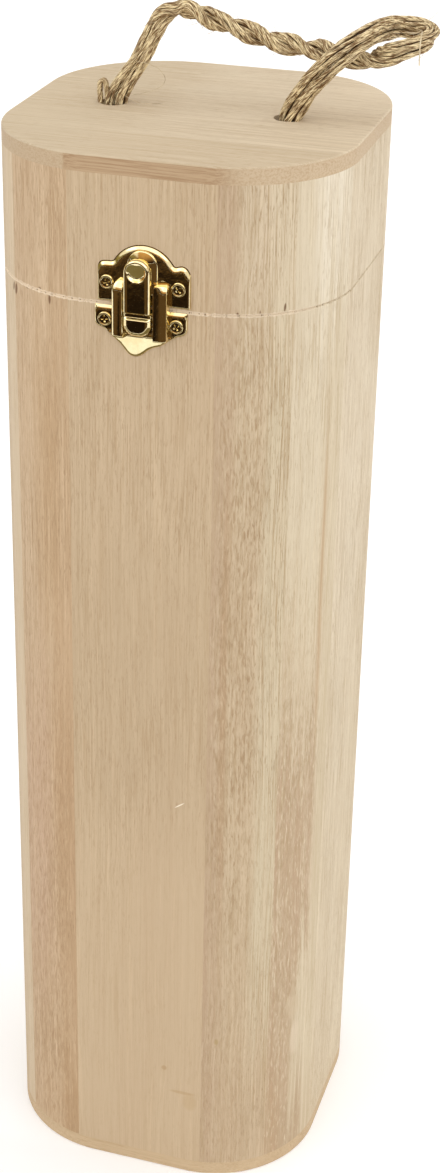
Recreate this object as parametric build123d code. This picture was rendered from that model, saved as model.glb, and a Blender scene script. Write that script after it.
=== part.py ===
from build123d import *
import math
import os

os.makedirs("parts", exist_ok=True)

# Bottle box in millimetres. The origin is the middle of the underside, +Z is up, the catch faces -Y.
box_width = 104.0
box_depth = 107.0
box_height = 350.0
corner_radius = 36.0
wall = 9.0
base_thickness = 5.0
top_thickness = 5.0
seam_height = 308.2
# Each corner is two staves, and the flat boards run a little way into the bends
stave_turn = 36.0
eased_edge = 0.4
outer_edge_round = 0.6

# Rope handle through two holes in the top
rope_diameter = 6.0
rope_hole_clearance = 1.2
rope_hole_spacing = 52.8
knot_overlap = 1.6
knot_height = 9.0
knot_round = 2.4
knot_drop = 0.3

# Screws
pilot_clearance = 0.05
screw_hole_clearance = 0.15
catch_screw_head = 4.2
catch_screw_head_height = 1.0
catch_screw_shank = 1.8
catch_screw_length = 6.5
hinge_screw_head = 3.4
hinge_screw_head_height = 0.6
hinge_screw_shank = 1.6
hinge_screw_length = 6.5
screw_tip_length = 1.6
screw_tip_diameter = 0.3
cross_slot_width = 0.5
cross_slot_depth = 0.45
cross_length_share = 0.55

# Catch: heights are above the seam, and each piece's outward size starts from the piece behind it
sheet = 0.8
sheet_bevel = 0.25
keeper_x = 0.9
keeper_width = 27.0
keeper_bottom = 1.0
keeper_wing_top = 12.7
keeper_top = 18.0
keeper_arch_width = 17.8
keeper_corner = 1.8
keeper_screw_inset = 3.05
keeper_screw_height = 6.6
hump_width = 9.0
hump_bottom = 3.0
hump_top = 16.7
hump_round = 0.9
hump_wall = 0.6
window_side_clearance = 0.65

catch_x = 0.3
catch_width = 27.0
catch_top = -0.4
catch_side_bottom = -5.4
catch_shoulder_inset = 1.3
catch_shoulder_bottom = -6.7
catch_tip = -14.9
catch_tip_overshoot = 0.9
catch_tip_lean = -1.2
catch_tip_round = 2.2
catch_waist_rise = 0.5
catch_waist_round = 6.0
catch_screw_inset = 3.0
catch_screw_drop = -4.3
housing_width = 16.2
housing_offset = 0.4
housing_bottom = -8.6
housing_top = 9.0
housing_out = 3.8
housing_wall = 0.7
housing_shoulder_round = 2.0
housing_edge_round = 0.6
housing_lid_gap = 0.3
housing_hump_gap = 0.5
housing_hump_side_gap = 1.3

lever_width = 7.9
lever_side_gap = 0.25
lever_top = 15.0
lever_bottom = -7.3
lever_hump_gap = 0.8
lever_thickness = 1.5
lever_tab_set = 0.4
lever_tab_thickness = 1.3
lever_tab_edge_thickness = 0.6
lever_tab_slope = 1.8
lever_groove_thickness = 0.7
lever_groove_top = -0.2
lever_groove_bottom = -2.1
lever_groove_slope = 0.4
lever_bottom_round = 3.4
lever_edge_round = 0.3
lever_cheek = 0.8
lever_cheek_reach = 1.3
lever_cheek_diameter = 2.5
lever_sheet_gap = 0.25
nub_diameter = 2.9
nub_engagement = 0.55
dimple_radius = 4.2
dimple_depth = 0.8
pivot_height = -1.2
pivot_diameter = 1.5
pivot_running_clearance = 0.06
pivot_seat_clearance = 0.02
spring_width = 3.0
spring_sheet = 0.25
spring_foot_top = -3.0
spring_foot_bottom = -4.5
spring_end = -6.9
spring_end_gap = 0.15

# Hinge on the back: heights are from the seam, outward sizes are from the back face
hinge_width = 28.0
leaf_height = 9.5
leaf_corner = 1.2
knuckle_diameter = 3.2
knuckle_count = 5
knuckle_end_gap = 0.15
knuckle_face_gap = 0.2
leaf_knuckle_gap = 0.4
hinge_pin_diameter = 1.6
hinge_pin_clearance = 0.05
hinge_pin_proud = 0.35
hinge_screw_inset = 5.0

overrun = 2.0
touch = 0.01

# The rope's route between its holes, as points across, back and up from the middle of the top
rope_route = [
    (-22.9, 0.9, 6.7),
    (-18.4, 2.6, 13.3),
    (-15.9, 4.5, 20.1),
    (-13.0, 5.9, 25.9),
    (-7.0, 6.9, 27.7),
    (0.4, 7.9, 24.2),
    (9.1, 9.0, 22.2),
    (17.9, 9.4, 19.2),
    (27.0, 9.1, 18.3),
    (36.1, 7.8, 17.7),
    (45.5, 5.7, 16.8),
    (53.6, 1.1, 19.4),
    (60.1, -1.1, 22.7),
    (65.9, 2.7, 23.9),
    (66.2, 9.8, 24.8),
    (60.6, 13.9, 25.7),
    (53.7, 12.1, 25.9),
    (50.5, 5.0, 26.1),
    (46.4, -1.9, 23.9),
    (39.7, -3.4, 18.2),
    (32.2, -2.1, 9.5),
]
arc_share = 0.45

flat_half_x = box_width / 2 - corner_radius
flat_half_y = box_depth / 2 - corner_radius
quarter_turn = 90.0
board_lap = (quarter_turn - 2 * stave_turn) / 2
inner_reach = (corner_radius - wall) / math.cos(math.radians(board_lap))
staves_top = box_height - top_thickness
rope_half_span = rope_hole_spacing / 2
rope_hole_diameter = rope_diameter + 2 * rope_hole_clearance
knot_diameter = rope_hole_diameter + 2 * knot_overlap
keeper_screw_spacing = keeper_width - 2 * keeper_screw_inset
catch_screw_spacing = catch_width - 2 * catch_screw_inset
hump_out = housing_out - housing_wall - housing_hump_gap
lever_inner = hump_out + lever_hump_gap
lever_outer = lever_inner + lever_thickness
nub_height = hump_top - hump_width / 2
pivot_out = sheet + lever_sheet_gap + lever_cheek_diameter / 2
hinge_pin_out = knuckle_diameter / 2 + knuckle_face_gap
hinge_screw_spacing = hinge_width - 2 * hinge_screw_inset
leaf_near = knuckle_diameter / 2 + leaf_knuckle_gap
hinge_screw_offset = (leaf_near + leaf_height) / 2
corners = [
    ("front_right", 1, -1, -quarter_turn),
    ("back_right", 1, 1, 0.0),
    ("back_left", -1, 1, quarter_turn),
    ("front_left", -1, -1, 2 * quarter_turn),
]
board_names = ["right_board", "back_board", "left_board", "front_board"]

front = Plane(origin=(0, -box_depth / 2, seam_height), x_dir=(1, 0, 0), z_dir=(0, -1, 0))
back = Plane(origin=(0, box_depth / 2, seam_height), x_dir=(-1, 0, 0), z_dir=(0, 1, 0))

nodes = {}


def corner_point(corner, angle, reach):
    """Point on a ray from the centre of one of the four bends."""
    _, side_x, side_y, _ = corner
    turn = math.radians(angle)
    return (side_x * flat_half_x + reach * math.cos(turn), side_y * flat_half_y + reach * math.sin(turn))


def skin_depth(point):
    """How far a point lies inside the rounded outline of the box."""
    over_x = max(abs(point.X) - flat_half_x, 0)
    over_y = max(abs(point.Y) - flat_half_y, 0)
    return corner_radius - math.hypot(over_x, over_y)


def outer_edges(solid, height):
    """The edges of a solid that lie on the box's outline at one height."""
    level = solid.edges().filter_by_position(Axis.Z, height - touch, height + touch)
    return [edge for edge in level if abs(skin_depth(edge @ 0.5)) < touch]


def corner_stave_face(corner, number):
    start = corner[3] + board_lap + number * stave_turn
    end = start + stave_turn
    outline = Line(corner_point(corner, start, inner_reach), corner_point(corner, start, corner_radius))
    outline += ThreePointArc(
        corner_point(corner, start, corner_radius),
        corner_point(corner, (start + end) / 2, corner_radius),
        corner_point(corner, end, corner_radius),
    )
    outline += Line(corner_point(corner, end, corner_radius), corner_point(corner, end, inner_reach))
    outline += Line(corner_point(corner, end, inner_reach), corner_point(corner, start, inner_reach))
    return make_face(outline)


def board_face(corner, next_corner):
    """Flat board between two bends: its outer face runs a little way round each bend."""
    flat_angle = corner[3] + quarter_turn
    start = flat_angle - board_lap
    end = flat_angle + board_lap
    outline = Line(corner_point(corner, start, inner_reach), corner_point(corner, start, corner_radius))
    outline += ThreePointArc(
        corner_point(corner, start, corner_radius),
        corner_point(corner, (start + flat_angle) / 2, corner_radius),
        corner_point(corner, flat_angle, corner_radius),
    )
    outline += Line(
        corner_point(corner, flat_angle, corner_radius),
        corner_point(next_corner, flat_angle, corner_radius),
    )
    outline += ThreePointArc(
        corner_point(next_corner, flat_angle, corner_radius),
        corner_point(next_corner, (end + flat_angle) / 2, corner_radius),
        corner_point(next_corner, end, corner_radius),
    )
    outline += Line(
        corner_point(next_corner, end, corner_radius),
        corner_point(next_corner, end, inner_reach),
    )
    outline += Line(corner_point(next_corner, end, inner_reach), corner_point(corner, start, inner_reach))
    return make_face(outline)


def raise_stave(face, low, high):
    """Extrude a stave between two heights and ease its outer edge at the saw cut."""
    stave = Pos(0, 0, low) * extrude(face, amount=high - low, dir=(0, 0, 1))
    return chamfer(outer_edges(stave, seam_height), eased_edge)


def add_ring(name, low, high):
    """The twelve glued staves of the case or of the lid."""
    for index, corner in enumerate(corners):
        next_corner = corners[(index + 1) % len(corners)]
        nodes[f"{name}_{board_names[index]}"] = raise_stave(board_face(corner, next_corner), low, high)
        for number, letter in enumerate("ab"):
            face = corner_stave_face(corner, number)
            nodes[f"{name}_{corner[0]}_stave_{letter}"] = raise_stave(face, low, high)


def end_plate(thickness, low, rounded_height):
    outline = RectangleRounded(box_width, box_depth, corner_radius)
    plate = Pos(0, 0, low) * extrude(outline, amount=thickness)
    return fillet(outer_edges(plate, rounded_height), outer_edge_round)


def slab(left, right, bottom, top, inner, outer):
    """Box between six planes, in the frame of a face: across, up and outward."""
    middle = ((left + right) / 2, (bottom + top) / 2, (inner + outer) / 2)
    return Pos(*middle) * Box(right - left, top - bottom, outer - inner)


def slab_both(half_width, bottom, top, inner, outer):
    return slab(-half_width, half_width, bottom, top, inner, outer)


def rod_across(diameter, length, height, out):
    return Pos(0, height, out) * (Rot(0, quarter_turn, 0) * Cylinder(diameter / 2, length))


def round_screw(head, head_height, shank, length):
    """Round-headed wood screw with a cross recess; the head sits on the plane z = 0."""
    dome_radius = (head**2 / 4 + head_height**2) / (2 * head_height)
    dome = Pos(0, 0, head_height - dome_radius) * Sphere(dome_radius)
    dome &= slab_both(head, -head, head, 0, head)
    for turn in (0, quarter_turn):
        cross = slab_both(head * cross_length_share / 2, -cross_slot_width / 2, cross_slot_width / 2,
                          head_height - cross_slot_depth, head_height + overrun)
        dome -= Rot(0, 0, turn) * cross
    straight = length - screw_tip_length
    shaft = Pos(0, 0, -straight / 2) * Cylinder(shank / 2, straight)
    point = Cone(screw_tip_diameter / 2, shank / 2, screw_tip_length)
    tip = Pos(0, 0, -straight - screw_tip_length / 2) * point
    return dome + shaft + tip


def pilot_hole(shank, length):
    return Pos(0, 0, -length / 2) * Cylinder(shank / 2 + pilot_clearance, length + pilot_clearance)


def screw_row(plane, middle_x, spacing, height, seat, screw):
    """Two screws side by side, with their heads on the sheet at seat."""
    places = [(middle_x - spacing / 2, height, seat), (middle_x + spacing / 2, height, seat)]
    return [plane.location * (Pos(*place) * screw) for place in places]


def drill(node, holes):
    for hole in holes:
        nodes[node] -= hole


add_ring("case", base_thickness, seam_height)
add_ring("lid", seam_height, staves_top)
nodes["case_base"] = end_plate(base_thickness, 0, 0)

# Top plate with its two rope holes
top_plate = end_plate(top_thickness, staves_top, box_height)
for side in (-1, 1):
    hole = Pos(side * rope_half_span, 0, staves_top + top_thickness / 2)
    top_plate -= hole * Cylinder(rope_hole_diameter / 2, top_thickness + 2 * overrun)
nodes["lid_top"] = top_plate


# Keeper plate on the lid: an arched sheet with a hollow hump that the lever's nub enters
def keeper():
    wings = Rectangle(keeper_width, keeper_wing_top - keeper_bottom)
    wings = Pos(0, (keeper_bottom + keeper_wing_top) / 2) * wings
    wings = fillet(wings.vertices().group_by(Axis.Y)[-1], keeper_corner)
    rise = keeper_top - keeper_wing_top
    arch_radius = (keeper_arch_width**2 / 4 + rise**2) / (2 * rise)
    arch = Pos(0, keeper_top - arch_radius) * Circle(arch_radius)
    band = Pos(0, (keeper_bottom + keeper_top) / 2) * Rectangle(keeper_width, keeper_top - keeper_bottom)
    plate = extrude(wings + (arch & band), amount=sheet)
    rim = plate.edges().filter_by_position(Axis.Z, sheet - touch, sheet + touch)
    plate = chamfer(rim, sheet_bevel)
    plate += extrude(hump_face(hump_width / 2), amount=hump_out)
    crown = plate.edges().filter_by_position(Axis.Z, hump_out - touch, hump_out + touch)
    plate = fillet(crown, hump_round)
    hollow = extrude(hump_face(hump_width / 2 - hump_wall), amount=hump_out - hump_wall + overrun)
    plate -= Pos(0, 0, -overrun) * hollow
    plate -= slab_both(nub_diameter / 2 + window_side_clearance, nub_height - nub_diameter / 2,
                       nub_height + nub_diameter / 2, 0, hump_out + overrun)
    for side in (-1, 1):
        hole = Pos(side * keeper_screw_spacing / 2, keeper_screw_height, 0)
        plate -= hole * Cylinder(catch_screw_shank / 2 + screw_hole_clearance, 2 * overrun)
    return plate


def hump_face(half_width):
    """Outline of the hump, or of its hollow: a strip with a round top."""
    arch_centre = hump_top - hump_width / 2
    inset = hump_width / 2 - half_width
    strip = Pos(0, (hump_bottom + inset + arch_centre) / 2)
    strip *= Rectangle(2 * half_width, arch_centre - hump_bottom - inset)
    return strip + Pos(0, arch_centre) * Circle(half_width)


# Catch plate on the case: a pointed sheet with a raised housing that reaches up past the seam
def catch_sheet():
    half = catch_width / 2
    waist = (catch_shoulder_bottom + catch_tip) / 2 + catch_waist_rise
    outline = Polyline(
        (-half, catch_top),
        (half, catch_top),
        (half, catch_side_bottom),
        (half - catch_shoulder_inset, catch_shoulder_bottom),
        ((half - catch_shoulder_inset + catch_tip_lean) / 2, waist),
        (catch_tip_lean, catch_tip - catch_tip_overshoot),
        ((catch_tip_lean - half + catch_shoulder_inset) / 2, waist),
        (-half + catch_shoulder_inset, catch_shoulder_bottom),
        (-half, catch_side_bottom),
        close=True,
    )
    face = make_face(outline)
    levels = face.vertices().group_by(Axis.Y)
    face = fillet(levels[0], catch_tip_round)
    waist_points = face.vertices().filter_by_position(Axis.Y, waist - touch, waist + touch)
    face = fillet(waist_points, catch_waist_round)
    plate = extrude(face, amount=sheet)
    rim = plate.edges().filter_by_position(Axis.Z, sheet - touch, sheet + touch)
    return chamfer(rim, sheet_bevel)


at_housing = Pos(housing_offset, 0, 0)


def catch_housing():
    half = housing_width / 2
    slot_half = lever_width / 2 + lever_side_gap
    left = housing_offset - half
    right = housing_offset + half
    housing = slab(left, right, housing_bottom, housing_top, 0, housing_out)
    face_edges = housing.edges().filter_by_position(Axis.Z, housing_out - touch, housing_out + touch)
    shoulder = face_edges.sort_by(Axis.Y)[-1]
    housing = fillet(shoulder, housing_shoulder_round)
    face_edges = housing.edges().filter_by_position(Axis.Z, housing_out - touch, housing_out + touch)
    housing = fillet(face_edges.sort_by(Axis.Y)[:-1], housing_edge_round)
    inner_bottom = housing_bottom + housing_wall
    inner_top = housing_top - housing_wall
    housing -= slab(left + housing_wall, right - housing_wall, inner_bottom, inner_top,
                    -overrun, housing_out - housing_wall)
    housing -= slab_both(slot_half, inner_bottom, housing_top + overrun, -overrun, housing_out + overrun)
    hump_half = hump_width / 2 + housing_hump_side_gap
    housing -= slab_both(hump_half, inner_top - housing_wall, housing_top + overrun,
                         -overrun, housing_out - housing_wall)
    housing -= slab_both(housing_width, catch_top, housing_top + overrun, -overrun, sheet + housing_lid_gap)
    return housing


def catch():
    plate = catch_sheet() + catch_housing()
    seat_diameter = pivot_diameter + 2 * pivot_seat_clearance
    plate -= at_housing * rod_across(seat_diameter, housing_width + overrun, pivot_height, pivot_out)
    for side in (-1, 1):
        hole = Pos(side * catch_screw_spacing / 2, catch_screw_drop, 0)
        plate -= hole * Cylinder(catch_screw_shank / 2 + screw_hole_clearance, 2 * overrun)
    return plate


# Lever: an arm with a dimple and nub at its tip, a press tab below, and two cheeks on the pivot
def lever():
    tab_inner = lever_inner + lever_tab_set
    tab_outer = tab_inner + lever_tab_thickness
    profile = Polyline(
        (lever_top, lever_inner),
        (lever_top, lever_outer),
        (lever_groove_top + lever_groove_slope, lever_outer),
        (lever_groove_top, lever_inner + lever_groove_thickness),
        (lever_groove_bottom, lever_inner + lever_groove_thickness),
        (lever_groove_bottom - lever_groove_slope, tab_outer),
        (lever_bottom + lever_tab_slope, tab_outer),
        (lever_bottom, tab_inner + lever_tab_edge_thickness),
        (lever_bottom, tab_inner),
        (lever_groove_bottom - lever_groove_slope, tab_inner),
        (lever_groove_bottom, lever_inner),
        close=True,
    )
    side_plane = Plane(origin=(-lever_width / 2, 0, 0), x_dir=(0, 1, 0), z_dir=(1, 0, 0))
    arm = extrude(side_plane * make_face(profile), amount=lever_width)
    half = lever_width / 2
    tip = Pos(0, lever_top - half) * Circle(half)
    foot = Rectangle(lever_width, lever_top - half - lever_bottom)
    foot = Pos(0, (lever_bottom + lever_top - half) / 2) * foot
    foot = fillet(foot.vertices().group_by(Axis.Y)[0], lever_bottom_round)
    arm &= extrude(tip + foot, amount=tab_outer + overrun)
    top_face = arm.edges().filter_by_position(Axis.Z, lever_outer - touch, lever_outer + touch)
    arm = fillet(top_face, lever_edge_round)
    arm -= Pos(0, nub_height, lever_outer - dimple_depth + dimple_radius) * Sphere(dimple_radius)
    arm += Pos(0, nub_height, hump_out - nub_engagement + nub_diameter / 2) * Sphere(nub_diameter / 2)
    for side in (-1, 1):
        inner = side * (half - lever_cheek)
        outer = side * half
        cheek = slab(min(inner, outer), max(inner, outer), pivot_height - lever_cheek_reach,
                     pivot_height + lever_cheek_reach, pivot_out, lever_inner + sheet / 2)
        disc = rod_across(lever_cheek_diameter, lever_cheek, pivot_height, pivot_out)
        cheek += Pos((inner + outer) / 2, 0, 0) * disc
        arm += cheek
    return arm - rod_across(pivot_diameter + 2 * pivot_running_clearance, lever_width + overrun,
                            pivot_height, pivot_out)


# Leaf spring: a foot flat on the catch plate and a tongue that leans out to the press tab
def leaf_spring():
    end_out = lever_inner + lever_tab_set - spring_end_gap
    profile = Polyline(
        (spring_foot_top, sheet),
        (spring_foot_bottom, sheet),
        (spring_end, end_out - spring_sheet),
        (spring_end + spring_sheet, end_out),
        (spring_foot_bottom + spring_sheet / 2, sheet + spring_sheet),
        (spring_foot_top, sheet + spring_sheet),
        close=True,
    )
    side_plane = Plane(origin=(-spring_width / 2, 0, 0), x_dir=(0, 1, 0), z_dir=(1, 0, 0))
    return extrude(side_plane * make_face(profile), amount=spring_width)


at_keeper = front.location * Pos(keeper_x, 0, 0)
at_catch = front.location * Pos(catch_x, 0, 0)
nodes["keeper_plate"] = at_keeper * keeper()
nodes["catch_plate"] = at_catch * catch()
nodes["catch_lever"] = at_catch * lever()
pin = rod_across(pivot_diameter, housing_width, pivot_height, pivot_out)
nodes["catch_pin"] = at_catch * at_housing * pin
nodes["catch_spring"] = at_catch * leaf_spring()

catch_screw = round_screw(catch_screw_head, catch_screw_head_height, catch_screw_shank, catch_screw_length)
catch_pilot = pilot_hole(catch_screw_shank, catch_screw_length)
keeper_row = (front, keeper_x, keeper_screw_spacing, keeper_screw_height, sheet)
catch_row = (front, catch_x, catch_screw_spacing, catch_screw_drop, sheet)
nodes["keeper_screws"] = Compound(children=screw_row(*keeper_row, catch_screw))
nodes["catch_screws"] = Compound(children=screw_row(*catch_row, catch_screw))
drill("lid_front_board", screw_row(*keeper_row, catch_pilot))
drill("case_front_board", screw_row(*catch_row, catch_pilot))


# Butt hinge across the seam at the back: its pin stands clear of the face so that the lid folds right over
def hinge_leaf(side, knuckles):
    """Leaf above the seam for side 1 or below it for side -1, with the knuckles that it carries."""
    half = hinge_width / 2
    knuckle_length = hinge_width / knuckle_count
    near = side * leaf_near
    far = side * leaf_height
    leaf = slab_both(half, min(near, far), max(near, far), 0, sheet)
    far_corners = leaf.edges().filter_by(Axis.Z).sort_by(Axis.Y)
    leaf = fillet(far_corners[-2:] if side > 0 else far_corners[:2], leaf_corner)
    for number in knuckles:
        left = -half + number * knuckle_length + knuckle_end_gap / 2
        right = left + knuckle_length - knuckle_end_gap
        leaf += slab(left, right, min(near, 0), max(near, 0), 0, sheet)
        knuckle = rod_across(knuckle_diameter, right - left, 0, hinge_pin_out)
        leaf += Pos((left + right) / 2, 0, 0) * knuckle
    leaf -= rod_across(hinge_pin_diameter + 2 * hinge_pin_clearance, hinge_width + overrun, 0, hinge_pin_out)
    for across in (-1, 1):
        hole = Pos(across * hinge_screw_spacing / 2, side * hinge_screw_offset, 0)
        leaf -= hole * Cylinder(hinge_screw_shank / 2 + screw_hole_clearance, 2 * overrun)
    return leaf


hinge_pin_length = hinge_width + 2 * hinge_pin_proud
nodes["hinge_case_leaf"] = back.location * hinge_leaf(-1, range(0, knuckle_count, 2))
nodes["hinge_lid_leaf"] = back.location * hinge_leaf(1, range(1, knuckle_count, 2))
nodes["hinge_pin"] = back.location * rod_across(hinge_pin_diameter, hinge_pin_length, 0, hinge_pin_out)

hinge_screw = round_screw(hinge_screw_head, hinge_screw_head_height, hinge_screw_shank, hinge_screw_length)
hinge_pilot = pilot_hole(hinge_screw_shank, hinge_screw_length)
for name, side in (("case", -1), ("lid", 1)):
    row = (back, 0, hinge_screw_spacing, side * hinge_screw_offset, sheet)
    nodes[f"hinge_{name}_screws"] = Compound(children=screw_row(*row, hinge_screw))
    drill(f"{name}_back_board", screw_row(*row, hinge_pilot))


# Rope handle: straight runs joined by arcs as large as the runs allow
knot_top = staves_top - knot_drop
rope_points = [(-rope_half_span, 0, knot_top), (-rope_half_span, 0, box_height)]
rope_points += [(across, out, box_height + up) for across, out, up in rope_route]
rope_points += [(rope_half_span, 0, box_height), (rope_half_span, 0, knot_top)]


def rope_radii(points):
    radii = []
    for before, here, after in zip(points, points[1:], points[2:]):
        first = Vector(*here) - Vector(*before)
        second = Vector(*after) - Vector(*here)
        turn = math.radians(first.get_angle(second))
        radii.append(arc_share * min(first.length, second.length) / math.tan(turn / 2))
    return radii


radii = rope_radii(rope_points)
rope_path = FilletPolyline(*rope_points, radius=radii)
rope_start = Plane(origin=rope_path @ 0, z_dir=rope_path % 0)
nodes["rope_handle"] = sweep(rope_start * Circle(rope_diameter / 2), path=rope_path)
section = math.pi * rope_diameter**2 / 4
print("rope radii", " ".join(f"{radius:.1f}" for radius in radii))
print(f"rope length {rope_path.length:.1f}, volume {nodes['rope_handle'].volume:.0f}, "
      f"section by length {section * rope_path.length:.0f}")

# Stopper knots under the top plate
knot = Cylinder(knot_diameter / 2, knot_height)
knot = fillet(knot.edges().filter_by(GeomType.CIRCLE), knot_round)
for name, side in (("left", -1), ("right", 1)):
    place = Pos(side * rope_half_span, 0, knot_top - knot_height / 2)
    nodes[f"{name}_rope_knot"] = place * knot

for name, shape in nodes.items():
    export_step(shape, f"parts/{name}.step")
print(len(nodes), "nodes")
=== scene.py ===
import math

import bmesh
import bpy
import numpy as np
from mathutils import Matrix, Vector
from mathutils.geometry import delaunay_2d_cdt


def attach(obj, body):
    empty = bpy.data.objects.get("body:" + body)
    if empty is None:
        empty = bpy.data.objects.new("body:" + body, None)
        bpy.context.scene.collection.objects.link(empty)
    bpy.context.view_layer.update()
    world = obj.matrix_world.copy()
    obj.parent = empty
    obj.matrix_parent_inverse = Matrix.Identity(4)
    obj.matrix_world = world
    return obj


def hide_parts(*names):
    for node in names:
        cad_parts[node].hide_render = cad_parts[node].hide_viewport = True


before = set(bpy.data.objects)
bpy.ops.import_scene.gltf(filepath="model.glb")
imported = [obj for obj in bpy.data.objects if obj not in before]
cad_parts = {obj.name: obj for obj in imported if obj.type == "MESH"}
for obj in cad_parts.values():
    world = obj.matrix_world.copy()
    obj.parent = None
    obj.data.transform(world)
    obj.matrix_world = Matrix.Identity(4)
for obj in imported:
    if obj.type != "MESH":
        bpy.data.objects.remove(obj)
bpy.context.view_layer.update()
scene = bpy.context.scene

# The photograph's size, focal length and optical axis in pixels, and where its camera stood, in metres
PHOTO_WIDTH, PHOTO_HEIGHT = 440, 1173
FOCAL_PIXELS = 2183
AXIS_X, AXIS_Y = 161.2, 590.4
YAW, PITCH, ROLL = (math.radians(angle) for angle in (17.98, 27.47, 0.44))
EYE = (0.1830, -0.5967, 0.5177)
SENSOR = 36.0

# The box, in millimetres: where the lid begins, the top, and half its outline's straight runs and its
# corners' radius
SEAM, TOP = 308.2, 350.0
STRAIGHT_X, STRAIGHT_Y, CORNER = 16.0, 17.5, 36.0
FACE_Y = -(STRAIGHT_Y + CORNER)

# The rope holes, in metres
HOLE_X = 0.0264


def link(obj):
    scene.collection.objects.link(obj)
    return obj


def add_piece(name, mesh, material, body, node=None):
    """Puts a smooth mesh in the scene, riding on a body. With a node, it takes that node's place."""
    mesh.polygons.foreach_set("use_smooth", [True] * len(mesh.polygons))
    mesh.materials.append(material)
    piece = link(bpy.data.objects.new(name, mesh))
    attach(piece, body)
    if node:
        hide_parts(node)
    return piece


def make_camera():
    forward = Vector((-math.sin(YAW) * math.cos(PITCH), math.cos(YAW) * math.cos(PITCH), -math.sin(PITCH)))
    right = Vector((math.cos(YAW), math.sin(YAW), 0))
    up = right.cross(forward)
    side = right * math.cos(ROLL) + up * math.sin(ROLL)
    top = up * math.cos(ROLL) - right * math.sin(ROLL)
    data = bpy.data.cameras.new("camera")
    data.sensor_fit = "VERTICAL"
    data.sensor_height = SENSOR
    data.lens = SENSOR * FOCAL_PIXELS / PHOTO_HEIGHT
    data.shift_x = (PHOTO_WIDTH / 2 - AXIS_X) / PHOTO_HEIGHT
    data.shift_y = (AXIS_Y - PHOTO_HEIGHT / 2) / PHOTO_HEIGHT
    data.clip_start = 0.01
    camera = link(bpy.data.objects.new("camera", data))
    matrix = Matrix((side, top, -forward)).transposed().to_4x4()
    matrix.translation = Vector(EYE)
    camera.matrix_world = matrix
    scene.camera = camera


make_camera()
scene.view_settings.view_transform = "Standard"
scene.view_settings.look = "None"


class Value:
    """What a shader node gives out. Another one, or a number, can be added, taken away or multiplied by."""

    def __init__(self, nodes, socket):
        self.nodes, self.socket = nodes, socket

    def __add__(self, other):
        return self.nodes.math("ADD", self, other)

    def __sub__(self, other):
        return self.nodes.math("SUBTRACT", self, other)

    def __mul__(self, other):
        return self.nodes.math("MULTIPLY", self, other)

    __radd__, __rmul__ = __add__, __mul__


class Nodes:
    """Short ways to add shader nodes to a tree. Most give back the new node's result."""

    def __init__(self, tree):
        self.tree = tree

    def put(self, socket, value):
        if isinstance(value, Value):
            self.tree.links.new(value.socket, socket)
        elif isinstance(value, tuple) and len(value) == 3 and socket.type == "RGBA":
            socket.default_value = (*value, 1)
        else:
            socket.default_value = value

    def add(self, kind, inputs=(), result=0, **settings):
        node = self.tree.nodes.new(kind)
        for key, value in settings.items():
            setattr(node, key, value)
        for key, value in dict(inputs).items():
            self.put(node.inputs[key], value)
        return Value(self, node.outputs[result])

    def math(self, operation, *values):
        return self.add("ShaderNodeMath", enumerate(values), operation=operation)

    def size(self, value):
        return self.math("ABSOLUTE", value)

    def larger(self, a, b):
        return self.math("MAXIMUM", a, b)

    def hypotenuse(self, a, b):
        return self.math("SQRT", a * a + b * b)

    def ramp(self, value, low, high, start=0.0, end=1.0):
        inputs = enumerate((value, low, high, start, end))
        return self.add("ShaderNodeMapRange", inputs, interpolation_type="SMOOTHSTEP")

    def coordinates(self, kind):
        return self.add("ShaderNodeTexCoord", result=kind)

    def scaled(self, vector, scale, shift=(0.0, 0.0, 0.0)):
        return self.add("ShaderNodeMapping", {"Vector": vector, "Scale": scale, "Location": shift})

    def millimetres(self):
        return self.scaled(self.coordinates("Object"), (1000, 1000, 1000))

    def noise(self, vector, detail, rough, distortion=0.0):
        inputs = {"Vector": vector, "Scale": 1.0, "Detail": detail, "Roughness": rough,
                  "Distortion": distortion}
        return self.add("ShaderNodeTexNoise", inputs, "Fac")

    def blend(self, factor, a, b):
        return self.add("ShaderNodeMix", {0: factor, 6: a, 7: b}, 2, data_type="RGBA")

    def split(self, vector):
        first = self.add("ShaderNodeSeparateXYZ", {0: vector})
        return [Value(self, socket) for socket in first.socket.node.outputs]

    def join(self, x, y, z):
        return self.add("ShaderNodeCombineXYZ", enumerate((x, y, z)))

    def bump(self, height, strength, distance):
        return self.add("ShaderNodeBump", {"Height": height, "Strength": strength, "Distance": distance})


class Material(Nodes):
    def __init__(self, name):
        self.material = bpy.data.materials.new(name)
        self.material.use_nodes = True
        super().__init__(self.material.node_tree)

    def surface(self, inputs):
        """Sets the surface's inputs and gives back the finished material."""
        for key, value in inputs.items():
            self.put(self.tree.nodes["Principled BSDF"].inputs[key], value)
        return self.material


def linear(*colour):
    """A colour's linear shares of red, green and blue, from its 8-bit ones."""
    shares = np.array(colour) / 255
    return tuple(np.where(shares <= 0.04045, shares / 12.92, ((shares + 0.055) / 1.055) ** 2.4))


def tinted(colour, share):
    """The colour times a number, or times three numbers part by part."""
    return tuple(np.minimum(np.multiply(colour, share), 1.0))


# Pale paulownia, in millimetres. The grain runs up the staves, and along x on the top and base. The distance
# round the outside is measured from the middle of the front, positive towards +x. It is SIDE_MIDDLE at the
# middle of the right side
SIDE_MIDDLE = 90.0

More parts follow.
